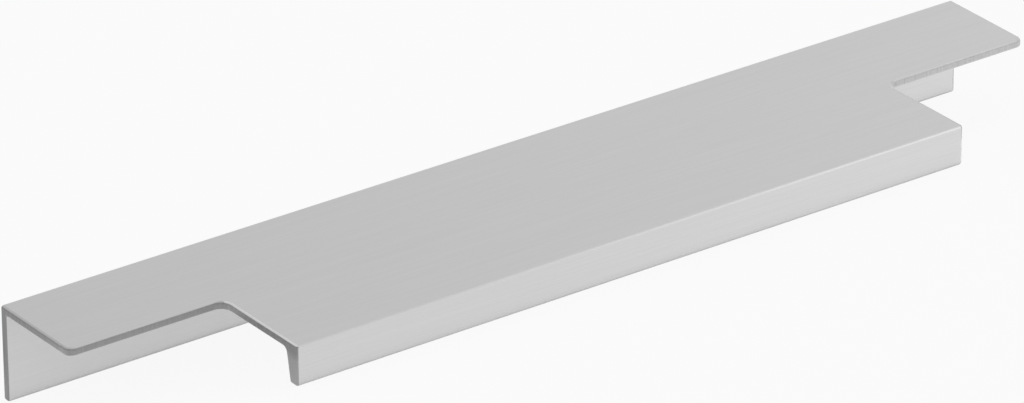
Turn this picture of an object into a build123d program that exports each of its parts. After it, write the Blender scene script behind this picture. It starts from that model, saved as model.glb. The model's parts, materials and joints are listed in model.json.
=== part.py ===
from build123d import *
import math
import os

# Profile handle for the top edge of a drawer front or cabinet door, cut from one aluminium extrusion.
# A flat plate lies on the panel's top edge, a flange behind it screws to the panel's back, and a
# tapered lip in front is what the fingers pull. Both front corners are milled away, which leaves a tab
# at each end that covers only the panel's edge.
# Millimetres. The handle is drawn as it is mounted: x along it with 0 at its middle, y from the flange's
# back (0) to the lip's front (negative), z up with the plate's top at 0. The last step lays it down as
# it rests on a table, on the bottom edges of the flange and the lip.

# Overall sizes
length = 200.0              # end to end, over both tabs
depth = 41.5                # flange's back to lip's front
panel_thickness = 19.0      # drawer front that the handle fits
wall = 1.5                  # plate and flange
flange_height = 17.5        # plate's top to flange's bottom edge
lip_height = 7.5            # plate's top to lip's bottom edge
notch_length = 30.5         # milled away at each front corner, along the handle

# Lip section
lip_tip = 2.1               # thickness at its bottom edge
lip_taper = 10.0            # degrees between its inner and front faces
lip_root_radius = 1.0       # fillet between its inner face and the plate's underside

# Extruded roundings
bend_radius = 0.5           # outer bends, plate to flange and plate to lip
inner_radius = 0.5          # inside the bend of plate and flange
rim_radius = 0.5            # bottom edges of flange and lip

# Milled corners seen from above, and the rounding along every milled edge
tab_corner_radius = 1.5
notch_corner_radius = 2.0
edge_break = 0.45

# Screw holes in the flange, countersunk from behind
hole_spacing = 160.0
hole_diameter = 3.6
countersink_diameter = 5.6
countersink_angle = 90.0

# Worked out from the sizes above
tab_depth = panel_thickness + wall              # a tab reaches over the panel and the flange
rim = min(rim_radius, 0.45 * wall)              # two of them share the flange's bottom edge
milled_rounding = min(edge_break, 0.9 * rim)    # runs round those rims at each end
cutter_overrun = depth                          # how far the milled outline stands clear of the stock


def rounded_face(corners):
    """A flat face with straight sides, from its corner points, each with its own radius."""
    points = [point for point, radius in corners]
    radii = [radius for point, radius in corners]
    return make_face(FilletPolyline(*points, radius=radii, close=True))


def profile_section():
    """The extruded section across the handle."""
    lip_root = lip_tip + (lip_height - wall) * math.tan(math.radians(lip_taper))
    return Plane.YZ * rounded_face([
        ((0, 0), bend_radius),
        ((0, -flange_height), rim),
        ((-wall, -flange_height), rim),
        ((-wall, -wall), inner_radius),
        ((lip_root - depth, -wall), lip_root_radius),
        ((lip_tip - depth, -lip_height), rim),
        ((-depth, -lip_height), rim),
        ((-depth, 0), bend_radius),
    ])


def milled_plan():
    """The milled outline from above: full length over the panel's edge, shorter at the lip."""
    end = length / 2
    lip_end = end - notch_length
    right = [
        ((end, cutter_overrun), 0),
        ((end, -tab_depth), tab_corner_radius),
        ((lip_end, -tab_depth), notch_corner_radius),
        ((lip_end, -depth - cutter_overrun), 0),
    ]
    left = [((-x, y), radius) for (x, y), radius in reversed(right)]
    return rounded_face(right + left)


def trimmed_profile():
    """The stock milled to its plan, with the cutter's sharp edges rounded all the way round each end."""
    stock = extrude(profile_section(), length / 2 + cutter_overrun, both=True)
    plan = extrude(milled_plan(), flange_height + cutter_overrun, both=True)
    trimmed = stock & plan
    return fillet(new_edges(stock, plan, combined=trimmed), milled_rounding)


def screw_holes():
    """Countersunk holes through the flange, midway up what shows of it below the plate."""
    middle = Plane((0, 0, -(wall + flange_height) / 2), x_dir=(1, 0, 0), z_dir=(0, 1, 0))
    hole = CounterSinkHole(hole_diameter / 2, countersink_diameter / 2, 2 * wall, countersink_angle)
    return [middle * Pos(side * hole_spacing / 2) * hole for side in (-1, 1)]


def laid_down(mounted):
    """Tipped forward until both bottom edges touch the table, with the origin under its middle."""
    tilt = math.degrees(math.atan2(flange_height - lip_height, depth - wall))
    tipped = Rot(X=tilt) * mounted
    box = tipped.bounding_box()
    return Pos(-box.center().X, -box.center().Y, -box.min.Z) * tipped


profile_handle = laid_down(trimmed_profile() - screw_holes())
os.makedirs("parts", exist_ok=True)
export_step(profile_handle, "parts/profile_handle.step")
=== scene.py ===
import bpy
import json
import math
from mathutils import Matrix, Vector

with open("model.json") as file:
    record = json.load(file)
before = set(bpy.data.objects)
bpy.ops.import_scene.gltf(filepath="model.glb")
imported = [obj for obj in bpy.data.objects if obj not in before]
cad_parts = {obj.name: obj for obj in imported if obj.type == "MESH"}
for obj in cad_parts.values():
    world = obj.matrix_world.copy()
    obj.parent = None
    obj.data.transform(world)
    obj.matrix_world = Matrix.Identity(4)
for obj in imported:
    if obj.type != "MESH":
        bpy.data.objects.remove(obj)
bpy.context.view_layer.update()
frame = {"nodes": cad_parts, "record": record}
mounts = {mount["name"]: mount for mount in frame["record"]["mounts"]}
print("frame loaded:", ", ".join(frame["nodes"]))

# The handle lies tipped forward, so its finish and the view are set in its own axes:
# x along it, y towards the flange, z out of the top plate, from the middle of the panel's seat.
seat = mounts["panel_edge_seat"]
plateUp = -Vector(seat["axis"])
alongHandle = Vector((1, 0, 0))
toFlange = plateUp.cross(alongHandle)
handleAxes = Matrix((alongHandle, toFlange, plateUp)).transposed()
handleFrame = Matrix.Translation(seat["pos_m"]) @ handleAxes.to_4x4()

noiseSpan = (0.3, 0.7)  # most of a noise texture's values lie between these


def newNode(tree, kind, x, y, **settings):
    node = tree.nodes.new(kind)
    node.location = (x, y)
    for name, value in settings.items():
        setattr(node, name, value)
    return node


def plug(tree, value, socket):
    if hasattr(value, "is_output"):
        tree.links.new(value, socket)
    else:
        socket.default_value = value


def maths(tree, operation, x, y, first, second=None, third=None):
    node = newNode(tree, "ShaderNodeMath", x, y, operation=operation)
    for socket, value in zip(node.inputs, (first, second, third)):
        if value is not None:
            plug(tree, value, socket)
    return node.outputs["Value"]


def ramp(tree, x, y, value, span=(0.0, 1.0), toLow=0.0, toHigh=1.0, smooth=False):
    node = newNode(tree, "ShaderNodeMapRange", x, y, clamp=True)
    node.interpolation_type = "SMOOTHSTEP" if smooth else "LINEAR"
    plug(tree, value, node.inputs["Value"])
    node.inputs["From Min"].default_value = span[0]
    node.inputs["From Max"].default_value = span[1]
    node.inputs["To Min"].default_value = toLow
    node.inputs["To Max"].default_value = toHigh
    return node.outputs["Result"]


def swing(tree, x, y, noise, middle, spread):
    return ramp(tree, x, y, noise, noiseSpan, middle - spread, middle + spread)


def streaks(tree, x, y, coordinates, lengths):
    stretch = newNode(tree, "ShaderNodeMapping", x, y)
    plug(tree, coordinates, stretch.inputs["Vector"])
    stretch.inputs["Scale"].default_value = [1 / length for length in lengths]
    noise = newNode(tree, "ShaderNodeTexNoise", x + 200, y, noise_dimensions="3D")
    plug(tree, stretch.outputs["Vector"], noise.inputs["Vector"])
    noise.inputs["Scale"].default_value = 1.0
    return noise.outputs["Fac"]


# Satin aluminium, brushed along the profile, with cut faces at the ends, tabs and notches
satinFinish = {
    "brushedColor": (0.700, 0.700, 0.700),
    # cut faces are darker: partly their own duller finish, partly painted shade for the shaded floor they
    # mirror
    "cutColorAndShade": (0.473, 0.473, 0.473),
    "anisotropic": 0.8,
    "roughness": 0.44,
    "cutRoughness": 0.75,
    "highlightRoughness": 0.34,
    "fineStreak": (0.018, 0.00016, 0.00016),   # length along the handle and width, metres
    "wideStreak": (0.110, 0.0013, 0.0013),
    "cutMark": (0.00035, 0.00035, 0.012),      # the cutter's lines stand upright
    "fineTone": 0.03,                          # how far each of them takes the tone up and down
    "wideTone": 0.005,
    "markTone": 0.07,
    "fineRoughness": 0.03,                     # and the fine streaks the roughness
    "reliefStrength": 0.15,
    "reliefDepth": 0.00002,                    # metres
    "tabCorner": -0.0070,                      # where the tabs' front corners start, from the seat's middle
    "tabStart": 0.0693,                        # where the tabs' fronts start, either side of the middle
    "lipReach": 0.0698,                        # where the plate behind the lip ends, either side
    "edgeHighlight": 1.40,                         # painted highlight: how much lighter the rounding over the left notch is made
    "lipEndLight": 1.26,                         # painted light: how much lighter the lip's ends are made than other cut faces
    "lipEndFade": (-0.0015, 0.0),                # the depth below the plate where that comes in
    "rightLight": 1.48,                        # painted light: how much lighter cut faces are made at the right than the left
    "rightFade": (-0.05, 0.05),                # the stretch along the handle where that comes in
    # where a rounding goes over from one finish to the next, by how far it faces that way (0 to 1)
    "wallTurn": (0.5, 0.85),                   # upwards: a tab's front wall to its brushed top
    "endTurn": (0.02, 0.25),                   # to either end: brushed to cut
    "leftCorner": 0.35,                        # how much further that is at the left, except by the lip, keeping left roundings lighter: painted light
    "leftTop": 0.6,                            # and how much more where the corner faces up
    "rightCorner": 2.0,                        # how many times sooner it is at the right, darkening the right roundings: painted shade
    "highlightSide": (0.0, 0.05),                   # leftwards: where the painted highlight starts
    "highlightTop": (0.45, 0.75),                   # upwards: the painted highlight's lower border
}


def satinAluminium():
    material = bpy.data.materials.new("satinAluminium")
    material.use_nodes = True
    tree = material.node_tree
    tree.nodes.clear()
    output = newNode(tree, "ShaderNodeOutputMaterial", 1500, 0)
    shader = newNode(tree, "ShaderNodeBsdfPrincipled", 1200, 0)
    tree.links.new(shader.outputs["BSDF"], output.inputs["Surface"])
    shader.inputs["Metallic"].default_value = 1.0
    shader.inputs["Anisotropic"].default_value = satinFinish["anisotropic"]
    tangent = newNode(tree, "ShaderNodeTangent", 1000, -500, direction_type="RADIAL", axis="X")
    tree.links.new(tangent.outputs["Tangent"], shader.inputs["Tangent"])

    place = newNode(tree, "ShaderNodeTexCoord", -1400, 0)
    own = newNode(tree, "ShaderNodeMapping", -1200, 0, vector_type="TEXTURE")
    tree.links.new(place.outputs["Object"], own.inputs["Vector"])
    own.inputs["Location"].default_value = seat["pos_m"]
    own.inputs["Rotation"].default_value = handleAxes.to_euler()
    where = own.outputs["Vector"]
    spot = newNode(tree, "ShaderNodeSeparateXYZ", -1000, 100)
    tree.links.new(where, spot.inputs["Vector"])

    # which way the surface faces
    facing = newNode(tree, "ShaderNodeSeparateXYZ", -1000, 300)
    tree.links.new(place.outputs["Normal"], facing.inputs["Vector"])
    leftward = maths(tree, "MULTIPLY", -800, 200, facing.outputs["X"], -1.0)
    lean = newNode(tree, "ShaderNodeVectorMath", -1000, 480, operation="DOT_PRODUCT")
    tree.links.new(place.outputs["Normal"], lean.inputs[0])
    lean.inputs[1].default_value = plateUp
    upward = maths(tree, "MAXIMUM", -800, 640, lean.outputs["Value"], 0.0)
    upright = maths(tree, "ABSOLUTE", -800, 480, lean.outputs["Value"])

    # the walls along the tabs' fronts
    wall = ramp(tree, -600, 480, upright, satinFinish["wallTurn"], 1.0, 0.0, smooth=True)
    outward = maths(tree, "ABSOLUTE", -800, 120, spot.outputs["X"])
    onTab = maths(tree, "GREATER_THAN", -600, 120, outward, satinFinish["tabStart"])
    forward = maths(tree, "LESS_THAN", -600, -60, spot.outputs["Y"], satinFinish["tabCorner"])
    tabEdge = maths(tree, "MULTIPLY", -400, 60, onTab, forward)
    tabWall = maths(tree, "MULTIPLY", -200, 120, tabEdge, wall)

    # the faces square to the handle's length, and the corners that are cut with them
    onLip = maths(tree, "LESS_THAN", -600, 880, outward, satinFinish["lipReach"])
    lipEdge = maths(tree, "MULTIPLY", -400, 880, onLip, forward)
    offLip = maths(tree, "SUBTRACT", -200, 880, 1.0, lipEdge)
    # left and right roundings take the cut tone differently: painted light on the left, painted shade on
    # the right
    leftTop = satinFinish["leftTop"]
    kept = maths(tree, "MULTIPLY_ADD", -600, 240, upward, leftTop, satinFinish["leftCorner"])
    kept = maths(tree, "MULTIPLY", -400, 240, kept, offLip)
    leftEnd = maths(tree, "SUBTRACT", -200, 240, leftward, kept)
    rightEnd = maths(tree, "MULTIPLY", -200, 400, facing.outputs["X"], satinFinish["rightCorner"])
    squareOn = maths(tree, "MAXIMUM", 0, 400, leftEnd, rightEnd)
    ends = ramp(tree, 150, 400, squareOn, satinFinish["endTurn"], smooth=True)
    milled = maths(tree, "MAXIMUM", 300, 260, ends, tabWall)

    # painted highlight: the rounding over the left notch is made lighter, and less rough
    turned = ramp(tree, -600, 700, leftward, satinFinish["highlightSide"])
    steep = ramp(tree, -600, 1040, upward, satinFinish["highlightTop"], smooth=True)
    rounding = maths(tree, "MULTIPLY", -400, 700, turned, steep)
    highlightEdge = maths(tree, "MULTIPLY", 0, 700, rounding, lipEdge)
    unhighlighted = maths(tree, "SUBTRACT", 100, 500, 1.0, highlightEdge)
    cut = maths(tree, "MULTIPLY", 200, 300, milled, unhighlighted)

    fine = streaks(tree, -1000, -300, where, satinFinish["fineStreak"])
    wide = streaks(tree, -1000, -550, where, satinFinish["wideStreak"])
    marks = streaks(tree, -1000, -800, where, satinFinish["cutMark"])

    # colour
    fineShade = swing(tree, -400, -200, fine, 1.0, satinFinish["fineTone"])
    wideShade = swing(tree, -400, -400, wide, 1.0, satinFinish["wideTone"])
    markShade = swing(tree, -400, -800, marks, 1.0, satinFinish["markTone"])
    brushShade = maths(tree, "MULTIPLY", -200, -300, fineShade, wideShade)
    # painted highlight: the rounding over the left notch made lighter
    highlightShade = ramp(tree, -200, -100, highlightEdge, toLow=1.0, toHigh=satinFinish["edgeHighlight"])
    brushShade = maths(tree, "MULTIPLY", -100, -300, brushShade, highlightShade)
    brushed = newNode(tree, "ShaderNodeVectorMath", 0, 0, operation="SCALE")
    brushed.inputs[0].default_value = satinFinish["brushedColor"]
    tree.links.new(brushShade, brushed.inputs["Scale"])
    # painted light: the lip's ends, below the plate, made lighter than the other cut faces
    below = ramp(tree, -600, -1000, spot.outputs["Z"], satinFinish["lipEndFade"], 1.0, 0.0)
    lipEnd = maths(tree, "MULTIPLY", -400, -1000, below, lipEdge)
    lipEndLighter = ramp(tree, -300, -1000, lipEnd, toLow=1.0, toHigh=satinFinish["lipEndLight"])
    cutShade = maths(tree, "MULTIPLY", -200, -900, markShade, lipEndLighter)
    # painted light: cut faces made lighter towards the right
    rightFade = satinFinish["rightFade"]
    rightPaintedLight = ramp(tree, -400, -1200, spot.outputs["X"], rightFade, 1.0, satinFinish["rightLight"])
    cutShade = maths(tree, "MULTIPLY", -100, -900, cutShade, rightPaintedLight)
    # the cut faces' tone: their own duller finish and painted shade
    cutTone = newNode(tree, "ShaderNodeVectorMath", 0, -160, operation="SCALE")
    cutTone.inputs[0].default_value = satinFinish["cutColorAndShade"]
    tree.links.new(cutShade, cutTone.inputs["Scale"])
    tone = newNode(tree, "ShaderNodeMix", 300, 0, data_type="RGBA")
    tree.links.new(cut, tone.inputs["Factor"])
    tree.links.new(brushed.outputs["Vector"], tone.inputs["A"])
    tree.links.new(cutTone.outputs["Vector"], tone.inputs["B"])
    tree.links.new(tone.outputs["Result"], shader.inputs["Base Color"])

    # roughness
    brushRough = swing(tree, 0, -350, fine, satinFinish["roughness"], satinFinish["fineRoughness"])
    roughness = newNode(tree, "ShaderNodeMix", 300, -300, data_type="FLOAT")
    tree.links.new(cut, roughness.inputs["Factor"])
    tree.links.new(brushRough, roughness.inputs["A"])
    roughness.inputs["B"].default_value = satinFinish["cutRoughness"]
    polish = newNode(tree, "ShaderNodeMix", 600, -300, data_type="FLOAT")
    tree.links.new(highlightEdge, polish.inputs["Factor"])
    tree.links.new(roughness.outputs["Result"], polish.inputs["A"])
    polish.inputs["B"].default_value = satinFinish["highlightRoughness"]
    tree.links.new(polish.outputs["Result"], shader.inputs["Roughness"])

    # relief
    relief = newNode(tree, "ShaderNodeMix", 300, -600, data_type="FLOAT")
    tree.links.new(cut, relief.inputs["Factor"])
    tree.links.new(fine, relief.inputs["A"])
    tree.links.new(marks, relief.inputs["B"])
    bump = newNode(tree, "ShaderNodeBump", 700, -600)
    bump.inputs["Strength"].default_value = satinFinish["reliefStrength"]
    bump.inputs["Distance"].default_value = satinFinish["reliefDepth"]
    tree.links.new(relief.outputs["Result"], bump.inputs["Height"])
    tree.links.new(bump.outputs["Normal"], shader.inputs["Normal"])
    return material


handle = frame["nodes"]["profile_handle"]
handle.material_slots[0].material = satinAluminium()
print("finish: brushed satin aluminium with cut faces")


# Floor, lightened where the camera and the metal see it, so that only a faint shadow is left
floorLook = {
    "radius": 6.0,
    "sides": 96,
    "color": (0.95, 0.95, 0.95, 1),
    "seenColor": (0.99, 0.99, 0.99, 1),
    "lightened": 0.9,
    "contact": 0.0012,     # how near the metal has to be for its mirror image to darken, metres
    "contactSamples": 8,
}


def paleFloor():
    material = bpy.data.materials.new("paleFloor")
    material.use_nodes = True
    tree = material.node_tree
    tree.nodes.clear()
    output = newNode(tree, "ShaderNodeOutputMaterial", 600, 0)
    plain = newNode(tree, "ShaderNodeBsdfDiffuse", 0, 100)
    plain.inputs["Color"].default_value = floorLook["color"]
    bright = newNode(tree, "ShaderNodeEmission", 0, -100)
    bright.inputs["Color"].default_value = floorLook["seenColor"]
    rays = newNode(tree, "ShaderNodeLightPath", -600, 200)
    gap = newNode(tree, "ShaderNodeAmbientOcclusion", -800, -100, samples=floorLook["contactSamples"])
    gap.inputs["Distance"].default_value = floorLook["contact"]
    mirrored = maths(tree, "MULTIPLY", -600, 0, rays.outputs["Is Glossy Ray"], gap.outputs["AO"])
    seen = maths(tree, "MAXIMUM", -400, 200, rays.outputs["Is Camera Ray"], mirrored)
    seen = maths(tree, "MAXIMUM", -200, 200, seen, rays.outputs["Is Transmission Ray"])
    share = maths(tree, "MULTIPLY", 0, 300, seen, floorLook["lightened"])
    mix = newNode(tree, "ShaderNodeMixShader", 300, 0)
    tree.links.new(share, mix.inputs["Fac"])
    tree.links.new(plain.outputs["BSDF"], mix.inputs[1])
    tree.links.new(bright.outputs["Emission"], mix.inputs[2])
    tree.links.new(mix.outputs["Shader"], output.inputs["Surface"])
    return material


floorSides = floorLook["sides"]
bpy.ops.mesh.primitive_circle_add(vertices=floorSides, radius=floorLook["radius"], fill_type="NGON")
floor = bpy.context.object
floor.name = "floor"
floor.data.materials.append(paleFloor())
print("floor: radius", floorLook["radius"], "m")


# Light: a pale world, lighter towards the right, and a weak strip of light low at the right front
studio = {
    "worldLeft": 0.620,
    "worldRight": 1.090,
    "worldSpan": (0.27, 0.85),      # where it turns lighter, as the cosine to the handle's right
    "stripPlace": (0.2828, -0.2828, 0.060),
    "stripAim": (0.0, 0.0, 0.005),
    "stripSize": (0.2, 0.1),
    "stripWatts": 0.095,
}


def paleWorld():
    world = bpy.data.worlds.new("studio")
    world.use_nodes = True
    tree = world.node_tree
    background = tree.nodes["Background"]
    background.inputs["Color"].default_value = (1, 1, 1, 1)
    direction = newNode(tree, "ShaderNodeTexCoord", -800, 0)
    axes = newNode(tree, "ShaderNodeSeparateXYZ", -600, 0)
    tree.links.new(direction.outputs["Generated"], axes.inputs["Vector"])
    span = studio["worldSpan"]
    level = ramp(tree, -400, 0, axes.outputs["X"], span, studio["worldLeft"], studio["worldRight"])
    tree.links.new(level, background.inputs["Strength"])
    bpy.context.scene.world = world


def rightStrip():
    lamp = bpy.data.lights.new("rightStrip", "AREA")
    lamp.shape = "RECTANGLE"
    lamp.size, lamp.size_y = studio["stripSize"]
    lamp.energy = studio["stripWatts"]
    place = Vector(studio["stripPlace"])
    beam = Vector(studio["stripAim"]) - place
    lampObject = bpy.data.objects.new("rightStrip", lamp)
    lampObject.location = place
    lampObject.rotation_euler = beam.to_track_quat("-Z", "Y").to_euler()
    lampObject.visible_camera = False
    bpy.context.scene.collection.objects.link(lampObject)


paleWorld()
rightStrip()
print("light: pale world and a weak strip")


# Camera, at the photograph's angle to the handle
photoView = {
    "yaw": -35.761,             # degrees round the plate, from square in front
    "pitch": 26.150,            # degrees above the plate
    "roll": -0.450,
    "distance": 1.39429,
    "aim": (-0.006360, -0.003215, -0.001510),   # metres from the seat's middle, in the handle's axes
    "focalPixels": 8236.04,
    "imageWidth": 1024,
    "sensor": 36.0,
    "nearest": 0.01,            # what the camera sees, metres from it
    "farthest": 20.0,
}


def photoCamera():
    yaw = math.radians(photoView["yaw"])
    pitch = math.radians(photoView["pitch"])
    roll = math.radians(photoView["roll"])
    back = Vector((math.sin(yaw) * math.cos(pitch), -math.cos(yaw) * math.cos(pitch), math.sin(pitch)))
    level = Vector((math.cos(yaw), math.sin(yaw), 0))
    above = back.cross(level)
    right = math.cos(roll) * level + math.sin(roll) * above
    up = back.cross(right)
    turn = Matrix((right, up, back)).transposed().to_4x4()
    place = Vector(photoView["aim"]) + back * photoView["distance"]
    data = bpy.data.cameras.new("photoCamera")
    data.sensor_fit = "HORIZONTAL"
    data.sensor_width = photoView["sensor"]
    data.lens = photoView["focalPixels"] * photoView["sensor"] / photoView["imageWidth"]
    data.clip_start = photoView["nearest"]
    data.clip_end = photoView["farthest"]
    camera = bpy.data.objects.new("photoCamera", data)
    camera.matrix_world = handleFrame @ Matrix.Translation(place) @ turn
    bpy.context.scene.collection.objects.link(camera)
    bpy.context.scene.camera = camera
    print("camera: lens", round(data.lens, 1), "mm")


photoCamera()
bpy.context.scene.view_settings.view_transform = "Standard"
